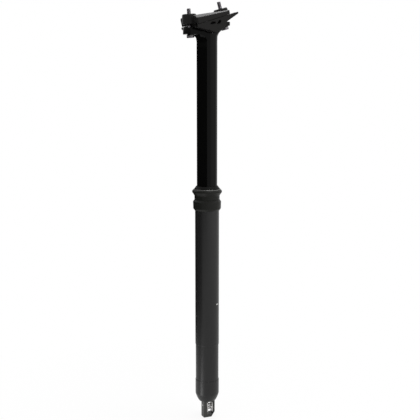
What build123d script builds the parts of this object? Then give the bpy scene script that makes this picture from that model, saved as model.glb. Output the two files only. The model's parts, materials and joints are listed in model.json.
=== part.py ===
from build123d import *
import os
from math import cos, radians, sin

os.makedirs("parts", exist_ok=True)

# A dropper seatpost at full height, in millimetres.
# The origin lies on the post's axis at the underside of the collar.
# Z points up the post, X to the front of the bicycle and Y to its left.

# The whole post
travel = 170.0
stanchion_overlap = 52.0
head_spare = 14.6
running_gap = 0.07
seat_gap = 0.02
rest_gap = 0.3
overrun = 5.0

# Lower tube
lower_tube_radius = 15.8
lower_tube_bore_radius = 14.0
collar_thread_radius = 15.4
tube_above_collar_foot = 23.4
neck_radius = 15.35
neck_length = 49.6
tube_foot_room = 8.6
step_chamfer = 0.4

# Keys and keyways
key_count = 3
key_width = 3.0
key_length = 15.0
key_side_gap = 0.1
key_foot_margin = 3.0
keyway_depth = 0.7
keyway_top_depth = 16.0
key_slot_depth = 0.9
key_tip_gap = 0.1

# Collar
base_ring_foot_radius = 18.2
base_ring_head_radius = 18.5
base_ring_lead_in = 2.6
base_ring_shoulder = 11.8
base_ring_height = 14.4
base_ring_foot_edge = 16.3
waist_radius = 16.6
waist_top = 19.7
nut_ring_radius = 19.6
nut_ring_low_edge = 23.9
nut_ring_high_edge = 25.9
nut_ring_top_radius = 17.7
nut_top = 28.0
nut_edge_round = 0.45
oring_section_radius = 0.62
oring_height = 22.0
oring_groove_gap = 0.05

# Upper bushing and wiper
upper_bushing_length = 20.0
bushing_flange_radius = 15.3
bushing_flange_height = 0.8
wiper_flange_radius = 17.2
wiper_shoulder_height = 1.1
wiper_shoulder_radius = 16.5
wiper_tip_radius = 14.1
wiper_height = 32.4
wiper_lip_height = 0.5
wiper_hollow_radius = 14.2

# Stanchion
stanchion_radius = 13.35
stanchion_bore_radius = 11.35
stanchion_edge_chamfer = 0.5
head_bore_radius = 6.0
lower_bushing_length = 12.0
lower_bushing_foot_margin = 2.0

# Forged head, all rises measured from where the flare starts
pivot_rise = 26.6
cradle_radius = 16.0
front_arm_under_rise = 8.2
front_arm_top_rise = 16.6
front_arm_end_radius = 9.5
front_bolt_reach = 22.8
rear_arm_under_rise = 19.3
rear_arm_top_rise = 25.6
rear_arm_end_radius = 7.2
rear_bolt_reach = 24.5
arm_hole_radius = 3.3
front_flare_share = 1.06
front_flare_drop_share = 0.35
front_heel_share = 1.3
rear_root_shares = ((1.02, 1.1), (1.16, 0.75), (1.4, 0.45))
rear_bolt_share = 0.92
rear_bolt_drop_share = 0.22
rear_end_share = 0.5
rear_end_rise_share = 0.08
rear_tip_rise_share = 0.3

# Saddle rail clamp
rail_radius = 3.5
rail_half_spacing = 22.0
rail_slope = 17.8
jaw_half_gap = 0.15
jaw_inner_edge = 17.0
jaw_outer_edge = 27.0
cradle_front_reach = 26.0
cradle_rear_reach = 32.5
cradle_front_tip = 3.0
cradle_rear_tip = 2.2
cradle_front_fall = 38.0
cradle_rear_fall = 17.0
cradle_middle_half_length = 14.6
window_depth = 7.0
window_outline_shares = (
    ((0.36, -0.13), (0.06, -0.22), (0.10, -0.34), (0.51, -0.32), (0.55, -0.25)),
    ((-0.05, -0.37), (-0.25, -0.19), (-0.42, -0.23), (-0.33, -0.44), (0.03, -0.45)),
)
clamp_top_slope = 13.1
wing_front_reach = 25.5
wing_rear_reach = 22.0
wing_edge_height = 5.7
wing_shoulder_height = 9.2
wing_shoulder_inset = 3.6
spine_height = 10.6
ridge_slope = 9.5
ridge_height = 8.3
spine_half_width = 9.0
wing_corner_radius = 3.0
cross_plate_front = 15.0
cross_plate_rear = 11.0
boss_top_radius = 9.0
boss_foot_radius = 9.6
boss_above_nut = 6.0
front_boss_below_nut = 6.6
rear_boss_below_nut = 5.7
boss_edge_round = 1.6
boss_blind_wall = 2.4
jaw_clearance = 0.8
slot_half_length = 1.4
slot_radius = 3.0

# Clamp bolts and barrel nuts
front_bolt_lean = 4.2
rear_bolt_lean = 15.1
bolt_radius = 2.5
bolt_reach_above_seat = 32.2
bolt_head_radius = 4.9
bolt_head_height = 2.7
bolt_end_chamfer = 0.6
hex_socket_width = 4.0
hex_socket_depth = 1.8
washer_dome_radius = 6.5
washer_radius = 5.0
washer_crown = 1.4
washer_rim = 0.3
washer_bore_radius = 2.75
front_nut_height = 19.45
rear_nut_height = 17.3
barrel_nut_radius = 4.5
barrel_nut_length = 13.2
barrel_nut_thread_gap = 0.18
barrel_nut_fit = 0.08

# Gas cartridge
cartridge_outer_radius = 10.9
cartridge_bore_radius = 9.6
gas_room = 22.0
plug_length = 12.0
plug_flange = 4.0
plug_valve_radius = 3.9
plug_valve_depth = 6.0
retainer_height = 3.8
retainer_bore_radius = 6.6
retainer_notch_width = 3.0
retainer_notch_depth = 2.0
retainer_notch_count = 6
gland_flange = 2.0
gland_length = 10.0
rod_seal_section = 0.75
top_bumper_height = 1.6
top_bumper_radius = 8.6
piston_height = 12.0
piston_rod_socket = 7.0
piston_seal_section = 0.8
piston_cup_radius = 4.0
piston_cup_depth = 2.2
rod_radius = 5.0
rod_bore_radius = 1.6
poppet_radius = 3.0
poppet_height = 1.4

# End cap
cap_radius = lower_tube_radius
cap_side_length = 18.9
cap_length = 29.4
cap_foot_radius = 11.2
cap_round_shares = (0.30, 0.42)
cap_spigot_radius = 13.93
cap_cavity_radius = 11.0
cap_cavity_depth = 15.4
rod_thread_length = 6.2
stud_radius = 6.5
bottom_bumper_height = 2.2
bottom_bumper_inner_radius = 11.2
bottom_bumper_outer_radius = 13.6
jam_nut_width = 15.0
jam_nut_height = 5.0

# Actuator bracket and release lever
bracket_half_width = 8.0
bracket_back = 2.0
bracket_front = 8.0
bracket_height = 22.4
bracket_top_plate = 1.2
bracket_foot_block = 4.4
bracket_edge_fillet = 0.8
window_front_leg = 4.4
window_rear_leg = 2.2
foot_chamfer_width = 5.0
foot_chamfer_height = 7.0
cable_line = 5.2
housing_bore_radius = 2.1
housing_bore_depth = 2.6
cable_hole_radius = 0.9
release_pin_radius = 1.5
release_pin_reach = 5.7
pin_contact_gap = 0.1
nose_radius = 1.2
lever_pivot_offset = 2.8
lever_pivot_above_nose = 0.4
lever_half_width = 4.2
lever_cheek = 1.3
pivot_pin_radius = 1.25
pivot_pin_inset = 0.1
pivot_fit = 0.05
pivot_boss_radius = 2.6
barrel_line = 5.7
barrel_drop = 3.0
barrel_radius = 2.2
barrel_boss_radius = 2.0
barrel_side_gap = 0.1
trunnion_radius = 1.3
horn_line = 5.2
horn_rise = 3.2
horn_radius = 1.2
tail_line = 5.6
tail_drop = 8.8
tail_radius = 1.3
bridge_line = 2.2
bridge_drop = 3.8
bridge_radius = 1.0
set_screw_radius = 1.25
set_screw_inner_end = 0.8
set_screw_hex = 1.2
set_screw_hex_depth = 0.7

# Heights along the post
head_base = wiper_height + travel + head_spare
pivot_height = head_base + pivot_rise
stanchion_foot = -stanchion_overlap
dropped_foot = stanchion_foot - travel
tube_foot = dropped_foot - tube_foot_room
neck_top = tube_foot + neck_length
retainer_top = stanchion_foot + retainer_height
cylinder_foot = retainer_top + gland_flange
gland_top = cylinder_foot + gland_length
piston_foot = gland_top + top_bumper_height + rest_gap
piston_top = piston_foot + piston_height
plug_foot = piston_top + travel + gas_room
cylinder_top = plug_foot + plug_length
cartridge_top = cylinder_top + plug_flange
spigot_top = dropped_foot - rest_gap - bottom_bumper_height
cap_floor = tube_foot - cap_cavity_depth
rod_foot = cap_floor - rod_thread_length
cap_foot = tube_foot - cap_length
pin_tip = cap_foot - release_pin_reach
nose_height = pin_tip - pin_contact_gap - nose_radius
lever_pivot_height = nose_height + lever_pivot_above_nose
lever_centre = (window_rear_leg - window_front_leg) / 2


def slope_frame(slope):
    """Frame at the clamp's pivot, its X tipped down to the front by the slope."""
    angle = radians(slope)
    return Plane(
        origin=(0, 0, pivot_height),
        x_dir=(cos(angle), 0, -sin(angle)),
        z_dir=(sin(angle), 0, cos(angle)),
    )


def bolt_frame(reach, seat_height, lean):
    """Frame of a clamp bolt at the arm's underside, its Z up the bolt."""
    angle = radians(lean)
    return Plane(
        origin=(reach, 0, seat_height),
        x_dir=(cos(angle), 0, -sin(angle)),
        z_dir=(sin(angle), 0, cos(angle)),
    )


rail_frame = slope_frame(rail_slope)
clamp_frame = slope_frame(clamp_top_slope)
front_bolt_frame = bolt_frame(front_bolt_reach, head_base + front_arm_under_rise, front_bolt_lean)
rear_bolt_frame = bolt_frame(-rear_bolt_reach, head_base + rear_arm_under_rise, rear_bolt_lean)


def turned(*outline):
    """Revolve an outline of (radius, height) points about the post's axis."""
    rim = Polyline(*[(radius, 0, height) for radius, height in outline], close=True)
    return revolve(make_face(rim), Axis.Z)


def sleeve(outer_radius, inner_radius, bottom, top):
    """Plain tube on the post's axis."""
    return turned(
        (inner_radius, bottom), (outer_radius, bottom), (outer_radius, top), (inner_radius, top)
    )


def rod(radius, bottom, top):
    """Round bar on the Z axis between two heights."""
    standing = (Align.CENTER, Align.CENTER, Align.MIN)
    return Pos(0, 0, bottom) * Cylinder(radius, top - bottom, align=standing)


def cross_bar(radius, start, end):
    """Round bar along X between two places."""
    return Pos(start, 0, 0) * Rot(0, 90, 0) * rod(radius, 0, end - start)


def rail_bar(radius, half_length):
    """Round bar along Y, centred on the origin."""
    return Rot(90, 0, 0) * Cylinder(radius, 2 * half_length)


def side_plate(outline, half_width):
    """Extrude an outline of (x, z) points to both sides of the middle plane."""
    face = make_face(Polyline(*[(x, 0, z) for x, z in outline], close=True))
    return extrude(face, amount=half_width, both=True)


def block(x_low, x_high, y_low, y_high, z_low, z_high):
    """Box between three pairs of places."""
    corner = (Align.MIN, Align.MIN, Align.MIN)
    box = Box(x_high - x_low, y_high - y_low, z_high - z_low, align=corner)
    return Pos(x_low, y_low, z_low) * box


def plan_hull(first_radius, second_centre, second_radius):
    """Face round a circle at the origin and a second circle along X."""
    second = Pos(second_centre, 0) * Circle(second_radius)
    return make_hull([*Circle(first_radius).edges(), *second.edges()])


def hex_bar(width, bottom, top):
    """Hexagonal bar on the Z axis between two heights."""
    flats = RegularPolygon(width / 2, 6, major_radius=False)
    return Pos(0, 0, bottom) * extrude(flats, amount=top - bottom)


def make_lower_tube():
    """Outer tube with a collar shoulder, a turned-down neck and three keyways inside."""
    tube = turned(
        (lower_tube_bore_radius, tube_foot),
        (neck_radius, tube_foot),
        (neck_radius, neck_top - step_chamfer),
        (lower_tube_radius, neck_top),
        (lower_tube_radius, 0),
        (collar_thread_radius, 0),
        (collar_thread_radius, tube_above_collar_foot),
        (lower_tube_bore_radius, tube_above_collar_foot),
    )
    half_width = key_width / 2 + key_side_gap
    keyway = block(
        0, lower_tube_bore_radius + keyway_depth, -half_width, half_width,
        tube_foot - overrun, -keyway_top_depth,
    )
    for index in range(key_count):
        tube -= Rot(0, 0, index * 360 / key_count) * keyway
    return tube


def make_collar_base():
    """Lower ring of the collar, seated round the tube."""
    bore = collar_thread_radius + seat_gap
    return turned(
        (bore, 0),
        (base_ring_foot_edge, 0),
        (base_ring_foot_radius, base_ring_lead_in),
        (base_ring_head_radius, base_ring_shoulder),
        (waist_radius, base_ring_height),
        (bore, base_ring_height),
    )


def make_collar_nut():
    """Waist and upper ring, with an inner groove for the O-ring."""
    bore = collar_thread_radius + seat_gap
    rim = turned(
        (bore, base_ring_height),
        (waist_radius, base_ring_height),
        (waist_radius, waist_top),
        (nut_ring_radius - nut_edge_round, nut_ring_low_edge - nut_edge_round),
        (nut_ring_radius, nut_ring_low_edge),
        (nut_ring_radius, nut_ring_high_edge),
        (nut_ring_radius - nut_edge_round, nut_ring_high_edge + nut_edge_round),
        (nut_ring_top_radius, nut_top),
        (bore, nut_top),
    )
    groove_half = oring_section_radius + oring_groove_gap
    groove_radius = bore + 2 * groove_half
    return rim - sleeve(
        groove_radius, bore - overrun, oring_height - groove_half, oring_height + groove_half
    )


def make_collar_o_ring():
    """Seal between the collar nut and the tube."""
    centre_radius = collar_thread_radius + seat_gap + oring_groove_gap + oring_section_radius
    return Pos(0, 0, oring_height) * Torus(centre_radius, oring_section_radius)


def make_upper_bushing():
    """Flanged guide sleeve that stands in the top of the lower tube."""
    inner = stanchion_radius + running_gap
    outer = lower_tube_bore_radius - seat_gap
    flange_top = tube_above_collar_foot + bushing_flange_height
    return turned(
        (inner, tube_above_collar_foot - upper_bushing_length),
        (outer, tube_above_collar_foot - upper_bushing_length),
        (outer, tube_above_collar_foot),
        (bushing_flange_radius, tube_above_collar_foot),
        (bushing_flange_radius, flange_top),
        (inner, flange_top),
    )


def make_wiper_seal():
    """Rubber wiper with an upper and a lower lip."""
    foot = tube_above_collar_foot + bushing_flange_height
    lip = stanchion_radius + running_gap
    return turned(
        (wiper_hollow_radius, foot),
        (collar_thread_radius - seat_gap, foot),
        (collar_thread_radius - seat_gap, nut_top),
        (wiper_flange_radius, nut_top),
        (wiper_shoulder_radius, nut_top + wiper_shoulder_height),
        (wiper_tip_radius, wiper_height),
        (lip, wiper_height - wiper_lip_height),
        (wiper_hollow_radius, nut_top + wiper_shoulder_height),
        (lip, nut_top - wiper_shoulder_height),
    )


def make_front_arm():
    """Low plate of the head that carries the front bolt."""
    under = head_base + front_arm_under_rise
    top = head_base + front_arm_top_rise
    tip = front_bolt_reach + front_arm_end_radius + overrun
    flare = turned(
        (0, head_base),
        (stanchion_radius, head_base),
        (stanchion_radius * front_flare_share, under - front_arm_end_radius * front_flare_drop_share),
        (stanchion_radius * front_heel_share, under),
        (tip, under),
        (tip, top),
        (0, top),
    )
    plan = plan_hull(stanchion_radius, front_bolt_reach, front_arm_end_radius)
    return flare & Pos(0, 0, head_base) * extrude(plan, amount=pivot_rise)


def make_rear_arm():
    """High plate of the head that carries the rear bolt on a gusset."""
    under = head_base + rear_arm_under_rise
    top = head_base + rear_arm_top_rise
    tip = rear_bolt_reach + rear_arm_end_radius + overrun
    gusset = rear_arm_under_rise - front_arm_under_rise
    root = [(stanchion_radius * out, under - gusset * drop) for out, drop in rear_root_shares]
    end = rear_bolt_reach + rear_arm_end_radius * rear_end_share
    flare = turned(
        (0, head_base),
        (stanchion_radius, head_base),
        *root,
        (rear_bolt_reach * rear_bolt_share, under - gusset * rear_bolt_drop_share),
        (end, under + gusset * rear_end_rise_share),
        (tip, under + gusset * rear_tip_rise_share),
        (tip, top),
        (0, top),
    )
    plan = plan_hull(stanchion_radius, -rear_bolt_reach, rear_arm_end_radius)
    return flare & Pos(0, 0, head_base) * extrude(plan, amount=pivot_rise)


def bolt_seat_cut(frame):
    """Clearance hole and domed washer seat of one arm."""
    dome = washer_dome_radius + running_gap
    centre = washer_crown - washer_dome_radius
    cup = Pos(0, 0, centre) * Sphere(dome)
    hole = rod(arm_hole_radius, 0, pivot_rise)
    spot = rod(washer_radius + washer_rim, -pivot_rise / 2, 0)
    return frame * (cup + hole + spot)


def make_stanchion():
    """Sliding tube forged in one with the two-armed head."""
    tube = turned(
        (stanchion_bore_radius, stanchion_foot),
        (stanchion_radius - stanchion_edge_chamfer, stanchion_foot),
        (stanchion_radius, stanchion_foot + stanchion_edge_chamfer),
        (stanchion_radius, pivot_height - cradle_radius / 2),
        (head_bore_radius, pivot_height - cradle_radius / 2),
        (head_bore_radius, cartridge_top + rest_gap),
        (stanchion_bore_radius, cartridge_top + rest_gap),
    )
    front_arm = make_front_arm() - rod(head_bore_radius, 0, pivot_height)
    rear_arm = make_rear_arm() - rod(head_bore_radius, 0, pivot_height)
    body = tube + front_arm + rear_arm
    seat = Pos(0, 0, pivot_height) * rail_bar(cradle_radius + running_gap, 2 * cradle_radius)
    body -= seat
    body -= bolt_seat_cut(front_bolt_frame)
    body -= bolt_seat_cut(rear_bolt_frame)
    slot_floor = stanchion_radius - key_slot_depth
    half_width = key_width / 2 + seat_gap
    key_bottom = stanchion_foot + key_foot_margin
    slot = block(
        slot_floor, stanchion_radius + overrun, -half_width, half_width,
        key_bottom - seat_gap, key_bottom + key_length + seat_gap,
    )
    for index in range(key_count):
        body -= Rot(0, 0, index * 360 / key_count) * slot
    return body


def make_lower_bushing():
    """Guide sleeve round the stanchion's foot, above the keys."""
    bottom = stanchion_foot + key_foot_margin + key_length + lower_bushing_foot_margin
    outer = lower_tube_bore_radius - running_gap
    return sleeve(outer, stanchion_radius + seat_gap, bottom, bottom + lower_bushing_length)


def make_keys():
    """Brass keys that hold the stanchion square to the lower tube."""
    tip = lower_tube_bore_radius + keyway_depth - key_tip_gap
    floor = stanchion_radius - key_slot_depth + seat_gap
    bottom = stanchion_foot + key_foot_margin
    key = block(floor, tip, -key_width / 2, key_width / 2, bottom, bottom + key_length)
    return [Rot(0, 0, index * 360 / key_count) * key for index in range(key_count)]


def cradle_outline():
    """Side outline of the cradle's rail bars, wedge-shaped towards both tips."""
    top = -jaw_half_gap
    front_run = cradle_front_reach - cradle_middle_half_length
    rear_run = cradle_rear_reach - cradle_middle_half_length
    front_root = top - cradle_front_tip - front_run * sin(radians(cradle_front_fall))
    rear_root = top - cradle_rear_tip - rear_run * sin(radians(cradle_rear_fall))
    return (
        (-cradle_rear_reach, top),
        (-cradle_rear_reach, top - cradle_rear_tip),
        (-cradle_middle_half_length, rear_root),
        (cradle_middle_half_length, front_root),
        (cradle_front_reach, top - cradle_front_tip),
        (cradle_front_reach, top),
    )


def rail_grooves():
    """Both saddle rails, with their fit, at the clamp's frame."""
    reach = cradle_front_reach + cradle_rear_reach
    groove = cross_bar(rail_radius, -reach, reach)
    return [Pos(0, side * rail_half_spacing, 0) * groove for side in (1, -1)]


def make_lower_cradle():
    """Rocker under the rails: a half cylinder with four long jaws."""
    top = -jaw_half_gap
    middle = rail_bar(cradle_radius, jaw_outer_edge)
    middle &= block(
        -cradle_radius, cradle_radius, -jaw_outer_edge, jaw_outer_edge, -cradle_radius, top
    )
    jaw = side_plate(cradle_outline(), (jaw_outer_edge - jaw_inner_edge) / 2)
    offset = (jaw_outer_edge + jaw_inner_edge) / 2
    cradle = middle + Pos(0, offset, 0) * jaw + Pos(0, -offset, 0) * jaw
    corner_cut = block(
        cradle_middle_half_length, cradle_radius + overrun, -jaw_inner_edge, jaw_inner_edge,
        -cradle_radius, 0,
    )
    cradle -= corner_cut
    cradle -= Rot(0, 0, 180) * corner_cut
    for groove in rail_grooves():
        cradle -= groove
    for shares in window_outline_shares:
        outline = [(x * cradle_radius, z * cradle_radius) for x, z in shares]
        pocket = side_plate(outline, window_depth)
        cradle -= Pos(0, jaw_outer_edge, 0) * pocket
        cradle -= Pos(0, -jaw_outer_edge, 0) * pocket
    return rail_frame * cradle


def clamp_plan():
    """Plan of the upper clamp: two wings, a cross plate and a spine."""
    length = wing_front_reach + wing_rear_reach
    middle = (wing_front_reach - wing_rear_reach) / 2
    width = jaw_outer_edge - jaw_inner_edge
    offset = (jaw_outer_edge + jaw_inner_edge) / 2
    wing = RectangleRounded(length, width, wing_corner_radius)
    plate_length = cross_plate_front + cross_plate_rear
    plate_middle = (cross_plate_front - cross_plate_rear) / 2
    plate = Pos(plate_middle, 0) * Rectangle(plate_length, jaw_outer_edge + jaw_inner_edge)
    spine = Pos(middle, 0) * Rectangle(length - spine_half_width, 2 * spine_half_width)
    plan = Pos(middle, offset) * wing + Pos(middle, -offset) * wing + plate + spine
    return plan


def bolt_boss(frame, nut_height, below_nut):
    """Round boss of the upper clamp about one bolt."""
    bottom = nut_height - below_nut
    height = below_nut + boss_above_nut
    standing = (Align.CENTER, Align.CENTER, Align.MIN)
    boss = Cone(boss_foot_radius, boss_top_radius, height, align=standing)
    boss = fillet(boss.edges().sort_by(Axis.Z)[-1], boss_edge_round)
    return frame * Pos(0, 0, bottom) * boss


def bolt_boss_cut(frame, nut_height):
    """Blind cross bore for the barrel nut, open to the right, and the slot that the bolt swings in."""
    bore = Pos(0, 0, nut_height) * rail_bar(barrel_nut_radius + barrel_nut_fit, 2 * boss_foot_radius)
    bore -= block(
        -boss_foot_radius, boss_foot_radius, boss_foot_radius - boss_blind_wall, 3 * boss_foot_radius,
        nut_height - boss_foot_radius, nut_height + boss_foot_radius,
    )
    slot_plan = SlotCenterToCenter(2 * slot_half_length, 2 * slot_radius)
    slot = Pos(0, 0, nut_height - pivot_rise / 2) * extrude(slot_plan, amount=pivot_rise)
    return frame * (bore + slot)


def make_upper_clamp():
    """Upper jaw: domed wings over the rails and two bosses for the nuts."""
    half_section = (
        (jaw_outer_edge, wing_edge_height),
        (jaw_outer_edge - wing_shoulder_inset, wing_shoulder_height),
        (spine_half_width, spine_height),
    )
    mirrored = [(-across, height) for across, height in reversed(half_section)]
    base = ((-jaw_outer_edge, -cradle_radius), (jaw_outer_edge, -cradle_radius))
    section = make_face(Polyline(*base, *half_section, *mirrored, close=True))
    length = wing_front_reach + wing_rear_reach
    wings = Pos(-wing_rear_reach, 0, 0) * extrude(Plane.YZ * section, amount=length)
    plan = Pos(0, 0, -cradle_radius) * extrude(clamp_plan(), amount=2 * cradle_radius)
    clamp = clamp_frame * (wings & plan)
    above = block(-2 * length, 2 * length, -length, length, ridge_height, 2 * length)
    clamp -= slope_frame(ridge_slope) * above
    reach = 2 * cradle_front_reach
    below = block(-reach, reach, -reach, reach, -reach, jaw_half_gap)
    clamp -= rail_frame * below
    clamp += bolt_boss(front_bolt_frame, front_nut_height, front_boss_below_nut)
    clamp += bolt_boss(rear_bolt_frame, rear_nut_height, rear_boss_below_nut)
    inner_reach = cradle_middle_half_length + jaw_clearance
    clamp -= rail_frame * block(-inner_reach, inner_reach, -reach, reach, -reach, jaw_half_gap)
    clamp -= bolt_boss_cut(front_bolt_frame, front_nut_height)
    clamp -= bolt_boss_cut(rear_bolt_frame, rear_nut_height)
    for groove in rail_grooves():
        clamp -= rail_frame * groove
    return clamp


def make_bolt(frame):
    """Clamp bolt with a low head and a hexagon socket."""
    seat = -washer_rim - (washer_dome_radius - washer_crown) + washer_side_drop()
    shank = rod(bolt_radius, seat, bolt_reach_above_seat)
    shank = chamfer(shank.edges().sort_by(Axis.Z)[-1], bolt_end_chamfer)
    head = rod(bolt_head_radius, seat - bolt_head_height, seat)
    head = chamfer(head.edges().sort_by(Axis.Z)[0], bolt_end_chamfer)
    head -= hex_bar(hex_socket_width, seat - bolt_head_height, seat - bolt_head_height + hex_socket_depth)
    return frame * (shank + head)


def washer_side_drop():
    """Height of the dome's edge above the dome's centre."""
    return (washer_dome_radius**2 - washer_radius**2) ** 0.5


def make_washer(frame):
    """Domed washer that lets a bolt swing in its arm."""
    centre = washer_crown - washer_dome_radius
    foot = centre + washer_side_drop() - washer_rim
    dome = Pos(0, 0, centre) * Sphere(washer_dome_radius)
    washer = dome & rod(washer_radius, foot, washer_dome_radius)
    return frame * (washer - rod(washer_bore_radius, foot - overrun, washer_dome_radius))


def make_barrel_nut(frame, nut_height):
    """Cross barrel with a tapped hole for the bolt."""
    barrel = rail_bar(barrel_nut_radius, barrel_nut_length / 2)
    hole_radius = bolt_radius + barrel_nut_thread_gap
    barrel -= rod(hole_radius, -2 * barrel_nut_radius, 2 * barrel_nut_radius)
    return frame * Pos(0, 0, nut_height) * barrel


def make_cartridge_cylinder():
    """Gas cylinder that hangs inside the stanchion."""
    return sleeve(cartridge_outer_radius, cartridge_bore_radius, cylinder_foot, cylinder_top)


def make_cartridge_plug():
    """Upper plug of the cylinder with its filling valve pocket."""
    body_radius = cartridge_bore_radius - seat_gap
    plug = rod(body_radius, plug_foot, cylinder_top)
    plug += rod(cartridge_outer_radius, cylinder_top, cartridge_top)
    return plug - rod(plug_valve_radius, cartridge_top - plug_valve_depth, cartridge_top)


def make_cartridge_gland():
    """Lower plug of the cylinder, bored for the piston rod."""
    bore = rod_radius + running_gap
    gland = turned(
        (bore, retainer_top),
        (cartridge_outer_radius, retainer_top),
        (cartridge_outer_radius, cylinder_foot),
        (cartridge_bore_radius - seat_gap, cylinder_foot),
        (cartridge_bore_radius - seat_gap, gland_top),
        (bore, gland_top),
    )
    middle = (cylinder_foot + gland_top) / 2
    half = rod_seal_section + oring_groove_gap
    return gland - sleeve(bore + 2 * half, bore - running_gap, middle - half, middle + half)


def make_rod_seal():
    """O-ring in the gland that seals the rod."""
    centre_radius = rod_radius + running_gap + rod_seal_section
    middle = (cylinder_foot + gland_top) / 2
    return Pos(0, 0, middle) * Torus(centre_radius, rod_seal_section)


def make_cartridge_retainer():
    """Threaded ring in the stanchion's foot with spanner notches."""
    ring = sleeve(
        stanchion_bore_radius - seat_gap, retainer_bore_radius, stanchion_foot, retainer_top
    )
    half = retainer_notch_width / 2
    notch = block(
        0, retainer_bore_radius + retainer_notch_depth, -half, half,
        stanchion_foot - overrun, stanchion_foot + retainer_height / 2,
    )
    for index in range(retainer_notch_count):
        ring -= Rot(0, 0, index * 360 / retainer_notch_count) * notch
    return ring


def make_top_out_bumper():
    """Rubber ring that the piston meets at full height."""
    return sleeve(top_bumper_radius, rod_radius + rest_gap, gland_top, gland_top + top_bumper_height)


def make_piston():
    """Piston with a rod socket, a seal groove and the valve seat."""
    piston = rod(cartridge_bore_radius - running_gap, piston_foot, piston_top)
    piston -= rod(rod_radius + seat_gap, piston_foot - overrun, piston_foot + piston_rod_socket)
    piston -= rod(rod_bore_radius, piston_foot, piston_top + overrun)
    piston -= rod(piston_cup_radius, piston_top - piston_cup_depth, piston_top + overrun)
    middle = (piston_foot + piston_top) / 2
    half = piston_seal_section + oring_groove_gap
    groove_floor = cartridge_bore_radius - running_gap - 2 * half
    return piston - sleeve(cartridge_bore_radius + overrun, groove_floor, middle - half, middle + half)


def make_piston_seal():
    """O-ring round the piston."""
    middle = (piston_foot + piston_top) / 2
    centre_radius = cartridge_bore_radius - running_gap - piston_seal_section
    return Pos(0, 0, middle) * Torus(centre_radius, piston_seal_section)


def make_piston_rod():
    """Hollow rod between the end cap and the piston."""
    return sleeve(rod_radius, rod_bore_radius, rod_foot, piston_foot + piston_rod_socket)


def make_rod_jam_nut():
    """Nut that locks the rod to the floor of the end cap."""
    nut = hex_bar(jam_nut_width, cap_floor, cap_floor + jam_nut_height)
    return nut - rod(rod_radius + seat_gap, cap_floor - overrun, cap_floor + 2 * jam_nut_height)


def make_bottom_end_cap():
    """Rounded plug that closes the lower tube and holds the rod."""
    side_foot = tube_foot - cap_side_length
    round_height = cap_length - cap_side_length
    round_depth = cap_radius - cap_foot_radius
    inward, downward = cap_round_shares
    middle = (cap_radius - inward * round_depth, 0, side_foot - downward * round_height)
    straight = Polyline(
        (cap_foot_radius, 0, cap_foot),
        (0, 0, cap_foot),
        (0, 0, spigot_top),
        (cap_spigot_radius, 0, spigot_top),
        (cap_spigot_radius, 0, tube_foot),
        (cap_radius, 0, tube_foot),
        (cap_radius, 0, side_foot),
    )
    curve = ThreePointArc((cap_radius, 0, side_foot), middle, (cap_foot_radius, 0, cap_foot))
    cap = revolve(make_face([*straight.edges(), curve]), Axis.Z)
    cap -= rod(cap_cavity_radius, cap_floor, spigot_top + overrun)
    cap -= rod(rod_radius + seat_gap, rod_foot, cap_floor + overrun)
    return cap - rod(stud_radius + seat_gap, cap_foot - overrun, rod_foot)


def make_bottom_out_bumper():
    """Rubber ring that the stanchion meets when it is fully down."""
    top = spigot_top + bottom_bumper_height
    return sleeve(bottom_bumper_outer_radius, bottom_bumper_inner_radius, spigot_top, top)


def make_actuator_bracket():
    """Window-shaped bracket with a housing stop in its foot."""
    foot = cap_foot - bracket_height
    body = block(
        -bracket_half_width, bracket_half_width, -bracket_back, bracket_front, foot, cap_foot
    )
    body = fillet(body.edges().filter_by(Axis.Z), bracket_edge_fillet)
    corner = side_plate(
        (
            (-bracket_half_width - overrun, foot - overrun),
            (foot_chamfer_width - bracket_half_width + overrun, foot - overrun),
            (foot_chamfer_width - bracket_half_width, foot),
            (-bracket_half_width, foot + foot_chamfer_height),
            (-bracket_half_width - overrun, foot + foot_chamfer_height),
        ),
        2 * bracket_front,
    )
    body -= corner
    body += rod(stud_radius, cap_foot, rod_foot)
    body -= block(
        window_rear_leg - bracket_half_width, bracket_half_width - window_front_leg,
        -bracket_back - overrun, bracket_front + overrun,
        foot + bracket_foot_block, cap_foot - bracket_top_plate,
    )
    body -= rod(rod_bore_radius, cap_foot - bracket_height / 2, rod_foot + overrun)
    cable = Pos(lever_centre, cable_line, 0)
    body -= cable * rod(housing_bore_radius, foot - overrun, foot + housing_bore_depth)
    body -= cable * rod(cable_hole_radius, foot, foot + bracket_foot_block + overrun)
    pivot = Pos(0, lever_pivot_offset, lever_pivot_height)
    reach = bracket_half_width + overrun
    return body - pivot * cross_bar(pivot_pin_radius + seat_gap, -reach, reach)


def make_lever_pivot_pin():
    """Pin across the bracket that the lever turns on."""
    reach = bracket_half_width - pivot_pin_inset
    return Pos(0, lever_pivot_offset, lever_pivot_height) * cross_bar(pivot_pin_radius, -reach, reach)


def hull_of(*circles):
    """Face round several circles given as (y, z, radius)."""
    edges = []
    for across, height, radius in circles:
        edges += (Pos(across, height) * Circle(radius)).edges()
    return make_hull(edges)


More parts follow.
